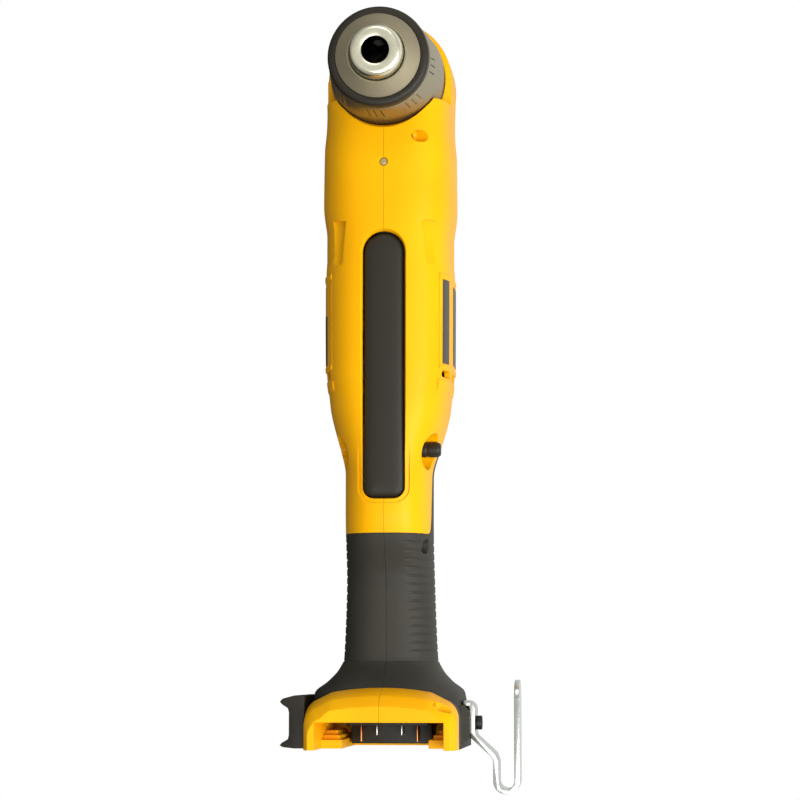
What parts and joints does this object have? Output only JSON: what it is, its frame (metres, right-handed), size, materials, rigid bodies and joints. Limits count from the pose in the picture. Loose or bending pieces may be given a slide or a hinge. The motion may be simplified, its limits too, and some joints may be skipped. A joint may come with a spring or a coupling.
{
  "type": "right angle drill",
  "caption": "Compact cordless right angle drill with a keyless chuck set square to its long body, a paddle trigger along the front, a rubber grip and a slide-on battery foot.",
  "frame": {"origin": "where the spindle axis meets the bench on which the tool lies on its back", "axes": "+Z along the spindle out of the chuck, +Y along the body from the foot to the head, +X to the side of the belt hook"},
  "size_m": [0.0926, 0.3155, 0.095],
  "materials": {
    "yellow_plastic": "fine grained moulded nylon",
    "grip_rubber": "soft overmoulded rubber",
    "black_plastic": "fine grained moulded nylon",
    "sleeve_metal": "satin turned sleeve",
    "nose_metal": "turned bright steel",
    "steel": "ground steel",
    "gear_steel": "hardened gear steel",
    "bronze": "sintered bronze",
    "cast_aluminium": "die cast",
    "zinc_steel": "bright zinc plated strip",
    "magnet": "ferrite",
    "winding": "laminations with copper wire",
    "copper": "bare copper alloy",
    "carbon": "carbon brush",
    "fan_plastic": "natural nylon",
    "board": "circuit board",
    "clear_lens": "clear moulded lens",
    "plunger_red": "moulded plastic",
    "black_screw": "black oxide steel"
  },
  "bodies": {
    "tool": {"housing_left": "yellow_plastic", "housing_right": "yellow_plastic", "grip_left": "grip_rubber", "grip_right": "grip_rubber", "gear_case": "cast_aluminium", "spindle_bearing_outer": "steel", "spindle_bush": "bronze", "pinion_bearing_outer": "steel", "gearbox_case": "black_plastic", "ring_gear": "gear_steel", "motor_plate": "steel", "motor_can": "steel", "motor_magnets": "magnet", "brushes": "carbon", "end_bell": "black_plastic", "switch_body": "black_plastic", "paddle_pin": "steel", "led_board": "board", "led_lens": "clear_lens", "terminal_block": "black_plastic", "terminals": "copper", "belt_hook": "zinc_steel", "bit_clip": "black_plastic", "accessory_screws": "black_screw", "housing_screws": "black_screw"},
    "spindle_set": {"spindle": "steel", "bevel_gear": "gear_steel", "chuck_body": "nose_metal", "chuck_screw": "black_screw", "spindle_bearing_inner": "steel"},
    "sleeve_set": {"chuck_sleeve": "sleeve_metal", "chuck_band": "black_plastic", "chuck_ring": "black_plastic", "chuck_cap": "sleeve_metal", "chuck_nut": "gear_steel"},
    "jaw_a": {"jaw_1": "gear_steel"},
    "jaw_b": {"jaw_2": "gear_steel"},
    "jaw_c": {"jaw_3": "gear_steel"},
    "spindle_balls": {"spindle_bearing_balls": "steel"},
    "pinion_set": {"bevel_pinion": "gear_steel", "carrier_2": "gear_steel", "pinion_bearing_inner": "steel"},
    "pinion_balls": {"pinion_bearing_balls": "steel"},
    "second_planet_a": {"planet_2a": "gear_steel"},
    "second_planet_b": {"planet_2b": "gear_steel"},
    "second_planet_c": {"planet_2c": "gear_steel"},
    "first_carrier": {"carrier_1": "gear_steel"},
    "first_planet_a": {"planet_1a": "gear_steel"},
    "first_planet_b": {"planet_1b": "gear_steel"},
    "first_planet_c": {"planet_1c": "gear_steel"},
    "rotor": {"motor_shaft": "steel", "armature": "winding", "commutator": "copper", "fan": "fan_plastic"},
    "shifter": {"shift_ring": "gear_steel", "shift_fork": "steel", "speed_selector": "black_plastic"},
    "paddle": {"paddle_trigger": "black_plastic"},
    "plunger": {"switch_plunger": "plunger_red"},
    "button": {"direction_button": "black_plastic"}
  },
  "joints": [
    {"name": "spindle_spin", "type": "hinge", "parent": "tool", "child": "spindle_set", "pos_m": [0, 0, 0.031], "axis": [0, 0, 1], "continuous": true},
    {"name": "sleeve_turn", "type": "hinge", "parent": "spindle_set", "child": "sleeve_set", "pos_m": [0, 0, 0.065], "axis": [0, 0, 1], "range_deg": [0, 3060]},
    {"name": "jaw_a_slide", "type": "slide", "parent": "spindle_set", "child": "jaw_a", "axis": [0, -0.2588, 0.9659], "range_m": [0, 0.017]},
    {"name": "jaw_b_slide", "type": "slide", "parent": "spindle_set", "child": "jaw_b", "axis": [0.2241, 0.1294, 0.9659], "range_m": [0, 0.017]},
    {"name": "jaw_c_slide", "type": "slide", "parent": "spindle_set", "child": "jaw_c", "axis": [-0.2241, 0.1294, 0.9659], "range_m": [0, 0.017]},
    {"name": "spindle_balls_roll", "type": "hinge", "parent": "tool", "child": "spindle_balls", "pos_m": [0, 0, 0.0435], "axis": [0, 0, 1], "continuous": true},
    {"name": "pinion_spin", "type": "hinge", "parent": "tool", "child": "pinion_set", "pos_m": [0, -0.025, 0.031], "axis": [0, 1, 0], "continuous": true},
    {"name": "pinion_balls_roll", "type": "hinge", "parent": "tool", "child": "pinion_balls", "pos_m": [0, -0.0236, 0.031], "axis": [0, 1, 0], "continuous": true},
    {"name": "second_planet_a_spin", "type": "hinge", "parent": "pinion_set", "child": "second_planet_a", "pos_m": [0.0135, -0.0416, 0.031], "axis": [0, 1, 0], "continuous": true},
    {"name": "second_planet_b_spin", "type": "hinge", "parent": "pinion_set", "child": "second_planet_b", "pos_m": [-0.00675, -0.0416, 0.04269], "axis": [0, 1, 0], "continuous": true},
    {"name": "second_planet_c_spin", "type": "hinge", "parent": "pinion_set", "child": "second_planet_c", "pos_m": [-0.00675, -0.0416, 0.01931], "axis": [0, 1, 0], "continuous": true},
    {"name": "first_carrier_spin", "type": "hinge", "parent": "tool", "child": "first_carrier", "pos_m": [0, -0.047, 0.031], "axis": [0, 1, 0], "continuous": true},
    {"name": "first_planet_a_spin", "type": "hinge", "parent": "first_carrier", "child": "first_planet_a", "pos_m": [0.01125, -0.0528, 0.031], "axis": [0, 1, 0], "continuous": true},
    {"name": "first_planet_b_spin", "type": "hinge", "parent": "first_carrier", "child": "first_planet_b", "pos_m": [-0.00562, -0.0528, 0.04074], "axis": [0, 1, 0], "continuous": true},
    {"name": "first_planet_c_spin", "type": "hinge", "parent": "first_carrier", "child": "first_planet_c", "pos_m": [-0.00562, -0.0528, 0.02126], "axis": [0, 1, 0], "continuous": true},
    {"name": "rotor_spin", "type": "hinge", "parent": "tool", "child": "rotor", "pos_m": [0, -0.085, 0.031], "axis": [0, 1, 0], "continuous": true},
    {"name": "speed_select", "type": "slide", "parent": "tool", "child": "shifter", "axis": [0, -1, 0], "range_m": [0, 0.005]},
    {"name": "paddle_press", "type": "hinge", "parent": "tool", "child": "paddle", "pos_m": [0, -0.0711, 0.0585], "axis": [1, 0, 0], "range_deg": [0, 3], "stiffness_Nm_per_rad": 8, "springref_deg": -2.86},
    {"name": "plunger_press", "type": "slide", "parent": "tool", "child": "plunger", "axis": [0, 0, -1], "range_m": [0, 0.00503]},
    {"name": "direction_select", "type": "slide", "parent": "tool", "child": "button", "axis": [1, 0, 0], "range_m": [-0.008, 0]}
  ],
  "couplings": [
    {"joint": "jaw_a_slide", "follows": "sleeve_turn", "m_per_rad": 0.00031831},
    {"joint": "jaw_b_slide", "follows": "sleeve_turn", "m_per_rad": 0.00031831},
    {"joint": "jaw_c_slide", "follows": "sleeve_turn", "m_per_rad": 0.00031831},
    {"joint": "spindle_balls_roll", "follows": "spindle_spin", "ratio": 0.41333},
    {"joint": "pinion_spin", "follows": "spindle_spin", "ratio": -2.5},
    {"joint": "pinion_balls_roll", "follows": "spindle_spin", "ratio": -0.98518},
    {"joint": "second_planet_a_spin", "follows": "spindle_spin", "ratio": 10},
    {"joint": "second_planet_b_spin", "follows": "spindle_spin", "ratio": 10},
    {"joint": "second_planet_c_spin", "follows": "spindle_spin", "ratio": 10},
    {"joint": "first_carrier_spin", "follows": "spindle_spin", "ratio": -7.5},
    {"joint": "first_planet_a_spin", "follows": "spindle_spin", "ratio": 20},
    {"joint": "first_planet_b_spin", "follows": "spindle_spin", "ratio": 20},
    {"joint": "first_planet_c_spin", "follows": "spindle_spin", "ratio": 20},
    {"joint": "rotor_spin", "follows": "spindle_spin", "ratio": -37.5},
    {"joint": "plunger_press", "follows": "paddle_press", "m_per_rad": 0.0959}
  ]
}
